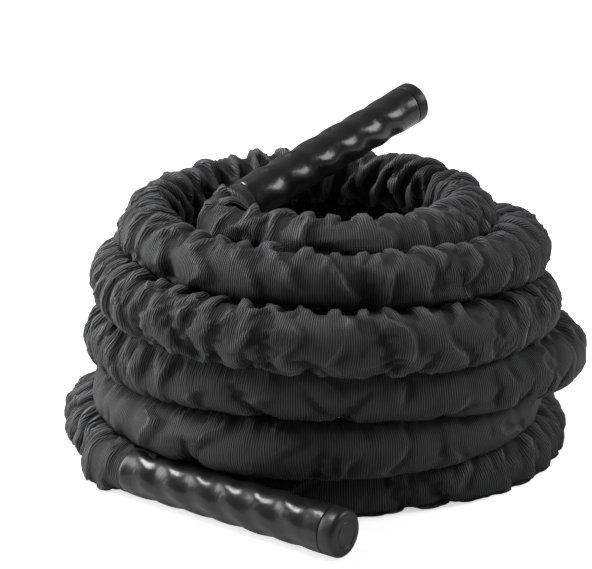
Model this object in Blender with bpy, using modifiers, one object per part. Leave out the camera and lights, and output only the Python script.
"""Battle rope: a three-strand rope in a loose woven sleeve, heaped in a coil, with a shrink-tube grip
and an end cap at each end. Lengths are in metres, +Z is up, and the coil lies on z = 0."""

import math

import bmesh
import bpy
from mathutils import Matrix, Vector

# The rope, its sleeve and what binds their ends
ROPE_DIAMETER = 0.038
ROPE_END_SHARE = 0.842
STRANDS = 3
STRAND_LAY = 0.100
STRAND_GROOVE = 0.0026
SLEEVE_SLACK = 0.0050
SLEEVE_NECK_SHARE = 0.94
SLEEVE_FABRIC = 0.0010
TAPE_THICKNESS = 0.0005
SLEEVE_TAPE_WIDTH = 0.028
SLEEVE_TAPE_INSET = 0.003
SLEEVE_HEM = 0.004
ROPE_TAPE_WIDTH = 0.016
SEAT_GAP = 0.0004

# The grips and the end caps: lengths run from the grip's edge over the sleeve to the cap's face
GRIP_LENGTH = 0.238
GRIP_WALL = 0.0016
GRIP_COLLAR_OVERLAP = 0.004
GRIP_BLEND = 0.012
CAP_HEIGHT = 0.0150
CAP_SKIRT = 0.020
CAP_SKIRT_WALL = 0.0010
CAP_FACE = 0.0042
CAP_ROUNDING = 0.0050

# The coil
COIL_RADIUS = 0.200
TURN_GAP = 0.0020
FLAT_SHARE = 0.1
COIL_AXIS = (0.0048, 0.0320)

# Where the turns lie at every quarter, front first and then right, back and left: how far outside
# the coil's radius, and how high above the turn on the floor, both as shares of the turns' pitch
TURN_SHARES = (
    (-1.28, 4.22), (-1.34, 4.12), (-0.34, 4.17), (-0.58, 4.02),
    (-0.35, 3.84), (-0.30, 3.64), (-0.06, 3.13), (-0.03, 3.17),
    (0.44, 3.00), (-0.08, 2.67), (0.00, 2.12), (0.10, 1.97),
    (0.00, 2.02), (0.46, 1.68), (-0.20, 1.14), (0.04, 0.98),
    (0.14, 1.00), (-0.44, 0.89), (-0.87, 0.40), (-0.72, 0.00),
    (-0.42, 0.00), (0.14, 0.00), (0.30, 0.00),
)

# The upper end stands out of the coil. The grip's edge has its azimuth, and shares as the turns have
UPPER_ROOT_AZIMUTH = 199.8
UPPER_ROOT_SHARES = (-2.332, 4.516)
UPPER_HEADING = 42.1
UPPER_TILT = 17.2
UPPER_BEND_SHARE = 0.75
UPPER_JOIN_HEADING = -15.0

# The lower end lies on the floor in front of the coil, behind a tail that runs round its left side
LOWER_ROOT_AZIMUTH = 219.1
LOWER_ROOT_SHARE = 0.577
LOWER_HEADING = -37.2
LOWER_BEND_SHARE = 0.833
LOWER_BEND_TURN = 45.0
TAIL_SHARES = {112: 0.33, 132: 0.50, 151: 0.74, 167: 0.78, 182: 0.54, 196: 0.36}

# How finely the forms are drawn
POINTS_PER_QUARTER = 6
TAIL_STEPS = 2
JOIN_STEPS = 3
BEND_STEP = 30.0
SIDES_PER_STRAND = 4
CAP_SIDES = 24
ROUNDING_STEPS = 3
GROOVE_POWER = 3
MERGE_DISTANCE = 1e-5
CUT_OVERRUN = 0.010
UNION_OVERLAP = 0.006

SLEEVE_TUCK = SLEEVE_TAPE_INSET + SLEEVE_TAPE_WIDTH + SLEEVE_HEM
GRIP_COLLAR = SLEEVE_TUCK + GRIP_COLLAR_OVERLAP
ROPE_RADIUS = ROPE_DIAMETER / 2
ROPE_END_RADIUS = ROPE_RADIUS * ROPE_END_SHARE
ROPE_NECK_RADIUS = (ROPE_RADIUS + ROPE_END_RADIUS) / 2
SLEEVE_RADIUS = ROPE_RADIUS + SLEEVE_SLACK
SLEEVE_DIAMETER = SLEEVE_RADIUS * 2
SLEEVE_NECK_RADIUS = SLEEVE_RADIUS * SLEEVE_NECK_SHARE
SLEEVE_END_RADIUS = ROPE_END_RADIUS + SEAT_GAP + SLEEVE_FABRIC
TURN_PITCH = SLEEVE_DIAMETER + TURN_GAP
FLOOR_HEIGHT = SLEEVE_RADIUS - FLAT_SHARE * SLEEVE_DIAMETER
SIDES = STRANDS * SIDES_PER_STRAND
RING_PITCH = STRAND_LAY / SIDES
SLEEVE_TAPE_RADIUS = SLEEVE_END_RADIUS + SEAT_GAP + TAPE_THICKNESS
ROPE_TAPE_RADIUS = ROPE_END_RADIUS + SEAT_GAP + TAPE_THICKNESS
SKIRT_BORE = (ROPE_TAPE_RADIUS + SEAT_GAP) / math.cos(math.pi / CAP_SIDES)
SKIRT_RADIUS = SKIRT_BORE + CAP_SKIRT_WALL
HELD_RADIUS = max(SLEEVE_TAPE_RADIUS, SKIRT_RADIUS, ROPE_RADIUS * math.cos(math.pi / SIDES))
GRIP_BORE = (HELD_RADIUS + SEAT_GAP) / math.cos(math.pi / SIDES)
GRIP_RADIUS = GRIP_BORE + GRIP_WALL
TUBE_LENGTH = GRIP_LENGTH - CAP_HEIGHT - SEAT_GAP
SKIRT_START = GRIP_LENGTH - CAP_HEIGHT - CAP_SKIRT
SKIRT_CLEAR = SKIRT_START - SEAT_GAP
ROPE_START = SLEEVE_TUCK + SEAT_GAP
ROPE_TIP = GRIP_LENGTH - CAP_FACE - SEAT_GAP
STRAIGHT_LEAD = SLEEVE_DIAMETER - SLEEVE_TUCK
UPPER_BEND = SLEEVE_DIAMETER * UPPER_BEND_SHARE
LOWER_BEND = SLEEVE_DIAMETER * LOWER_BEND_SHARE
LOWER_ROOT_HEIGHT = GRIP_RADIUS + SEAT_GAP


def clear_scene():
    for old in list(bpy.data.objects):
        bpy.data.objects.remove(old, do_unlink=True)


def new_collection(name):
    collection = bpy.data.collections.new(name)
    bpy.context.scene.collection.children.link(collection)
    return collection


def new_material(name, colour, roughness, coat=0.0):
    material = bpy.data.materials.new(name)
    material.use_nodes = True
    shader = material.node_tree.nodes["Principled BSDF"]
    shader.inputs["Base Color"].default_value = (*colour, 1.0)
    shader.inputs["Roughness"].default_value = roughness
    shader.inputs["Metallic"].default_value = 0.0
    shader.inputs["Coat Weight"].default_value = coat
    material.diffuse_color = (*colour, 1.0)
    return material


def new_part(name, mesh, collection, material):
    part = bpy.data.objects.new(name, mesh)
    collection.objects.link(part)
    mesh.materials.clear()
    mesh.materials.append(material)
    mesh.shade_smooth()
    mesh.set_sharp_from_angle(angle=math.radians(40))
    return part


def between(start, slope_in, end, slope_out, share):
    """A point on the smooth curve from start to end, for given slopes there."""
    left = 1 - share
    return (
        start * (left * left * (1 + 2 * share))
        + end * (share * share * (1 + 2 * left))
        + slope_in * (share * left * left)
        - slope_out * (share * share * left)
    )


def through(points, steps):
    """Points on one smooth curve through all but the first and last of these."""
    found = []
    for before, start, end, after in zip(points, points[1:], points[2:], points[3:]):
        slopes = (end - before) / 2, (after - start) / 2
        found += [between(start, slopes[0], end, slopes[1], step / steps) for step in range(steps)]
    return found + [points[-2]]


def ramp(share):
    share = min(max(share, 0.0), 1.0)
    return share * share * (3 - 2 * share)


def heading_vector(heading, tilt=0.0):
    flat = math.cos(math.radians(tilt))
    turn = math.radians(heading)
    return Vector((math.cos(turn) * flat, math.sin(turn) * flat, math.sin(math.radians(tilt))))


def placed(azimuth, share, height):
    """A point by its azimuth round the coil and its share of a pitch outside the coil's radius."""
    radius = COIL_RADIUS + share * TURN_PITCH
    angle = math.radians(azimuth)
    return Vector((radius * math.cos(angle), radius * math.sin(angle), height))


def coil_points():
    """The turns, one quarter after another, anticlockwise from the front and downwards."""
    shares = [Vector(pair) for pair in TURN_SHARES]
    shares = [shares[0] * 2 - shares[1], *shares, shares[-1] * 2 - shares[-2]]
    return [
        placed(-90 + 90 * step / POINTS_PER_QUARTER, share.x, FLOOR_HEIGHT + share.y * TURN_PITCH)
        for step, share in enumerate(through(shares, POINTS_PER_QUARTER))
    ]


def upper_root():
    share, turns = UPPER_ROOT_SHARES
    return placed(UPPER_ROOT_AZIMUTH, share, FLOOR_HEIGHT + turns * TURN_PITCH)


def lower_root():
    return placed(LOWER_ROOT_AZIMUTH, LOWER_ROOT_SHARE, LOWER_ROOT_HEIGHT)


def arc_points(start, heading, radius, turn, steps):
    """A level left-hand bend from start, as points after it."""
    centre = start + heading_vector(heading + 90) * radius
    return [
        centre + heading_vector(heading - 90 + turn * step / steps) * radius for step in range(1, steps + 1)
    ]


def upper_lead(turns):
    """From the upper grip's edge, straight for a little way, then down round to the first turn."""
    root = upper_root()
    start = root - heading_vector(UPPER_HEADING, UPPER_TILT) * STRAIGHT_LEAD
    heading = UPPER_HEADING - 180
    turn = UPPER_JOIN_HEADING - heading
    steps = round(turn / BEND_STEP)
    bend = arc_points(start, heading, UPPER_BEND, turn, steps)
    run = math.radians(turn) * UPPER_BEND
    for step, point in enumerate(bend, 1):
        share = step / steps
        left = 1 - share
        entry = -math.tan(math.radians(UPPER_TILT)) * run * share * left * left
        point.z = start.z + (turns[0].z - start.z) * ramp(share) + entry
    reach = (turns[0] - bend[-1]).length
    slope_in = heading_vector(UPPER_JOIN_HEADING) * reach
    slope_out = (turns[1] - turns[0]).normalized() * reach
    join = [
        between(bend[-1], slope_in, turns[0], slope_out, step / JOIN_STEPS) for step in range(1, JOIN_STEPS)
    ]
    return [root, start, *bend, *join]


def lower_lead(last_turn, before_last):
    """From the last turn, round the tail on the floor, to the lower grip's edge."""
    root = lower_root()
    end = root - heading_vector(LOWER_HEADING) * STRAIGHT_LEAD
    steps = round(LOWER_BEND_TURN / BEND_STEP)
    back = arc_points(end, LOWER_HEADING + 180, -LOWER_BEND, -LOWER_BEND_TURN, steps)
    bend = back[::-1]
    tail = [placed(azimuth, share, FLOOR_HEIGHT) for azimuth, share in TAIL_SHARES.items()]
    points = through([before_last, last_turn, *tail, bend[0], bend[1]], TAIL_STEPS)[1:]
    return [*points, *bend[1:], end, root]


def cord_route():
    """The middle line of the cord, from the upper grip's edge to the lower grip's."""
    turns = coil_points()
    route = upper_lead(turns) + turns + lower_lead(turns[-1], turns[-2])
    return [point + Vector((*COIL_AXIS, 0.0)) for point in route]


def distance_to_run(point, start, end):
    run = end - start
    share = min(max((point - start).dot(run) / run.length_squared, 0.0), 1.0)
    return (start + run * share - point).length


def least_gap(route, diameter):
    """The least room between stretches of a cord that don't follow each other at once."""
    lengths = [0.0]
    for start, end in zip(route, route[1:]):
        lengths.append(lengths[-1] + (end - start).length)
    least = (math.inf, 0)
    for index, point in enumerate(route):
        for other in range(index + 1, len(route) - 1):
            if lengths[other] - lengths[index] > math.pi * diameter:
                room = distance_to_run(point, route[other], route[other + 1]) - diameter
                least = min(least, (room, index))
    return least, lengths[-1]


def cleaned(mesh):
    """The mesh with its doubled points joined and its faces turned outwards."""
    shape = bmesh.new()
    shape.from_mesh(mesh)
    bmesh.ops.remove_doubles(shape, verts=shape.verts, dist=MERGE_DISTANCE)
    bmesh.ops.recalc_face_normals(shape, faces=shape.faces)
    shape.to_mesh(mesh)
    shape.free()
    return mesh


def tube_mesh(name, points, radii):
    """A closed six-sided tube along points, with a flat side down."""
    curve = bpy.data.curves.new(name, "CURVE")
    curve.dimensions = "3D"
    curve.twist_mode = "Z_UP"
    curve.bevel_depth = 1.0
    curve.bevel_resolution = 1
    curve.use_fill_caps = True
    spline = curve.splines.new("POLY")
    spline.points.add(len(points) - 1)
    for knot, point, radius in zip(spline.points, points, radii):
        knot.co = (*point, 1.0)
        knot.radius = radius
    holder = bpy.data.objects.new(name, curve)
    bpy.context.scene.collection.objects.link(holder)
    graph = bpy.context.evaluated_depsgraph_get()
    mesh = bpy.data.meshes.new_from_object(holder.evaluated_get(graph))
    mesh.transform(holder.matrix_world)
    bpy.data.objects.remove(holder)
    return cleaned(mesh)


def turned_mesh(name, profile, sides):
    """A solid turned round Z from a profile of radii and heights, whose outer side runs downwards."""
    mesh = bpy.data.meshes.new(name)
    links = [(index, index + 1) for index in range(len(profile) - 1)]
    mesh.from_pydata([(radius, 0.0, height) for radius, height in profile], links, [])
    holder = bpy.data.objects.new(name, mesh)
    bpy.context.scene.collection.objects.link(holder)
    screw = holder.modifiers.new("turn", "SCREW")
    screw.steps = sides
    screw.render_steps = sides
    screw.use_merge_vertices = True
    screw.merge_threshold = MERGE_DISTANCE
    graph = bpy.context.evaluated_depsgraph_get()
    turned = bpy.data.meshes.new_from_object(holder.evaluated_get(graph))
    bpy.data.objects.remove(holder)
    return cleaned(turned)


def ridge_rings(start, end, bore):
    """Rings from start to end along a grip's axis, as heights and the rope's or tube's radii."""
    first = math.ceil(start / RING_PITCH + SEAT_GAP)
    last = math.floor(end / RING_PITCH - SEAT_GAP)
    heights = [start, *(index * RING_PITCH for index in range(first, last + 1)), end]
    rings = []
    for height in heights:
        ring = []
        for side in range(SIDES):
            angle = math.tau * side / SIDES
            across = abs(math.sin((angle - math.tau * height / STRAND_LAY) * STRANDS / 2))
            ridged = ROPE_RADIUS - STRAND_GROOVE * across**GROOVE_POWER
            radius = bore(height, ridged)
            ring.append(Vector((radius * math.cos(angle), radius * math.sin(angle), height)))
        rings.append(ring)
    return rings


def add_band(shape, rings):
    """The side faces between rings, split along the strands' ridges."""
    rows = [[shape.verts.new(point) for point in ring] for ring in rings]
    for lower, upper in zip(rows, rows[1:]):
        for side in range(SIDES):
            after = (side + 1) % SIDES
            shape.faces.new((lower[side], lower[after], upper[after]))
            shape.faces.new((lower[side], upper[after], upper[side]))
    return rows


def rope_radius(height, ridged):
    share = ramp((SKIRT_CLEAR - height) / GRIP_BLEND)
    return ROPE_END_RADIUS + (ridged - ROPE_END_RADIUS) * share


def bore_radius(height, ridged):
    share = ramp((height - GRIP_COLLAR) / GRIP_BLEND) * ramp((SKIRT_CLEAR - height) / GRIP_BLEND)
    return GRIP_BORE + (ridged + SEAT_GAP - GRIP_BORE) * share


def outer_radius(height, ridged):
    return bore_radius(height, ridged) + GRIP_WALL


def rope_end_mesh(name):
    """The three strands of one end of the rope, from inside the sleeve's mouth to the cap."""
    shape = bmesh.new()
    rings = ridge_rings(ROPE_START, SKIRT_CLEAR, rope_radius)
    rings += ridge_rings(ROPE_TIP, ROPE_TIP, rope_radius)[:1]
    rows = add_band(shape, rings)
    shape.faces.new(rows[0][::-1])
    shape.faces.new(rows[-1])
    mesh = bpy.data.meshes.new(name)
    shape.to_mesh(mesh)
    shape.free()
    return cleaned(mesh)


def grip_mesh(name):
    """The shrink tube: a collar over the sleeve's end, the ridges, and a round end over the skirt."""
    shape = bmesh.new()
    walls = []
    for radius in (bore_radius, outer_radius):
        rings = ridge_rings(GRIP_COLLAR, SKIRT_CLEAR, radius)
        collar = ridge_rings(0.0, 0.0, radius)[:1]
        end = ridge_rings(TUBE_LENGTH, TUBE_LENGTH, radius)[:1]
        walls.append(add_band(shape, collar + rings + end))
    inner, outer = walls
    for row in (0, -1):
        for side in range(SIDES):
            after = (side + 1) % SIDES
            shape.faces.new((inner[row][side], inner[row][after], outer[row][after], outer[row][side]))
    mesh = bpy.data.meshes.new(name)
    shape.to_mesh(mesh)
    shape.free()
    return cleaned(mesh)


def cap_profile():
    shoulder = CAP_HEIGHT - CAP_ROUNDING
    base = GRIP_LENGTH - CAP_HEIGHT
    rounding = []
    for step in range(ROUNDING_STEPS + 1):
        angle = math.radians(90 - 90 * step / ROUNDING_STEPS)
        radius = GRIP_RADIUS - CAP_ROUNDING + CAP_ROUNDING * math.cos(angle)
        rounding.append((radius, base + shoulder + CAP_ROUNDING * math.sin(angle)))
    inside = GRIP_LENGTH - CAP_FACE
    return [
        (0.0, GRIP_LENGTH),
        *rounding,
        (GRIP_RADIUS, base),
        (SKIRT_RADIUS, base),
        (SKIRT_RADIUS, SKIRT_START),
        (SKIRT_BORE, SKIRT_START),
        (SKIRT_BORE, inside),
        (0.0, inside),
    ]


def rope_tape_profile():
    """A band round the rope's end, closed on itself."""
    top = ROPE_TIP - SEAT_GAP
    bottom = top - ROPE_TAPE_WIDTH
    inner = ROPE_END_RADIUS + SEAT_GAP
    return [(inner, top), (ROPE_TAPE_RADIUS, top), (ROPE_TAPE_RADIUS, bottom), (inner, bottom), (inner, top)]


def add_cutter(name, mesh, collection):
    cutter = bpy.data.objects.new(name, mesh)
    collection.objects.link(cutter)
    cutter.hide_render = True
    cutter.display_type = "WIRE"
    return cutter


def add_boolean(part, name, operation, other):
    modifier = part.modifiers.new(name, "BOOLEAN")
    modifier.operation = operation
    modifier.solver = "EXACT"
    modifier.object = other


def grip_frame(root, outward):
    """A grip's own axes: the origin at its edge over the sleeve, and +Z towards the cap."""
    frame = outward.to_track_quat("Z", "Y").to_matrix().to_4x4()
    frame.translation = root
    return frame


def stretched(route, ends, reach):
    """The route with a straight run added inside each grip."""
    (upper_root, upper_out), (lower_root, lower_out) = ends
    return [upper_root + upper_out * reach, *route, lower_root + lower_out * reach]


def along(route, end_radius, neck_radius, radius):
    """A cord's radii on the stretched route: drawn in at both ends, full everywhere else."""
    neck = [end_radius, end_radius, neck_radius]
    return neck + [radius] * (len(route) + 2 - 2 * len(neck)) + neck[::-1]


def build_sleeve(route, ends, collection, cutters, material):
    points = stretched(route, ends, SLEEVE_TUCK)
    radii = along(route, SLEEVE_END_RADIUS, SLEEVE_NECK_RADIUS, SLEEVE_RADIUS)
    sleeve = new_part("sleeve", tube_mesh("sleeve", points, radii), collection, material)
    points = stretched(route, ends, SLEEVE_TUCK + CUT_OVERRUN)
    radii = [
        radius + SEAT_GAP for radius in along(route, ROPE_END_RADIUS, ROPE_NECK_RADIUS, ROPE_RADIUS)
    ]
    bore = add_cutter("sleeve_bore", tube_mesh("sleeve_bore", points, radii), cutters)
    add_boolean(sleeve, "bore", "DIFFERENCE", bore)
    box = bpy.data.meshes.new("floor_cut")
    shape = bmesh.new()
    reach = (COIL_RADIUS + TURN_PITCH * 2) * 2
    size = Matrix.Diagonal((reach, reach, SLEEVE_RADIUS, 1.0))
    bmesh.ops.create_cube(shape, size=1.0, matrix=Matrix.Translation((0.0, 0.0, -SLEEVE_RADIUS / 2)) @ size)
    shape.to_mesh(box)
    shape.free()
    add_boolean(sleeve, "floor", "DIFFERENCE", add_cutter("floor_cut", box, cutters))


def build_rope(route, ends, collection, cutters, material):
    points = stretched(route, ends, ROPE_START + UNION_OVERLAP)
    radii = along(route, ROPE_END_RADIUS, ROPE_NECK_RADIUS, ROPE_RADIUS)
    rope = new_part("rope_core", tube_mesh("rope_core", points, radii), collection, material)
    for side, (root, outward) in zip(("upper", "lower"), ends):
        mesh = rope_end_mesh(side + "_strands")
        mesh.transform(grip_frame(root, outward))
        add_boolean(rope, side, "UNION", add_cutter(side + "_strands", mesh, cutters))


def build_sleeve_tape(side, root, outward, collection, cutters, material):
    start = root + outward * SLEEVE_TAPE_INSET
    end = start + outward * SLEEVE_TAPE_WIDTH
    overrun = outward * CUT_OVERRUN
    name = side + "_sleeve_tape"
    tape = new_part(name, tube_mesh(name, [start, end], [SLEEVE_TAPE_RADIUS] * 2), collection, material)
    bore = tube_mesh(name + "_bore", [start - overrun, end + overrun], [SLEEVE_END_RADIUS + SEAT_GAP] * 2)
    add_boolean(tape, "bore", "DIFFERENCE", add_cutter(name + "_bore", bore, cutters))


def main():
    clear_scene()
    parts = new_collection("battle_rope")
    cutters = new_collection("cutters")
    fabric = new_material("sleeve_fabric", (0.020, 0.020, 0.022), 0.85)
    fibre = new_material("rope_fibre", (0.035, 0.035, 0.037), 0.75)
    shrink = new_material("shrink_tube", (0.010, 0.010, 0.011), 0.22, coat=0.4)
    rubber = new_material("cap_rubber", (0.014, 0.014, 0.015), 0.40)
    vinyl = new_material("tape_vinyl", (0.018, 0.018, 0.019), 0.50)

    route = cord_route()
    (gap, where), length = least_gap(route, SLEEVE_DIAMETER)
    print(f"sleeve's least gap to itself {gap * 1000:.2f} mm, at point {where} of {len(route)}")
    print(f"rope {length + GRIP_LENGTH * 2:.3f} m from cap to cap")
    ends = [
        (route[0], heading_vector(UPPER_HEADING, UPPER_TILT)),
        (route[-1], heading_vector(LOWER_HEADING)),
    ]
    build_sleeve(route, ends, parts, cutters, fabric)
    build_rope(route, ends, parts, cutters, fibre)
    for side, (root, outward) in zip(("upper", "lower"), ends):
        build_sleeve_tape(side, root, outward, parts, cutters, vinyl)
        for name, mesh, material in (
            (side + "_grip", grip_mesh(side + "_grip"), shrink),
            (side + "_end_cap", turned_mesh(side + "_end_cap", cap_profile(), CAP_SIDES), rubber),
            (side + "_rope_end_tape", turned_mesh(side + "_tape", rope_tape_profile(), SIDES), vinyl),
        ):
            mesh.transform(grip_frame(root, outward))
            new_part(name, mesh, parts, material)
    bpy.context.view_layer.update()


if __name__ == "__main__":
    main()
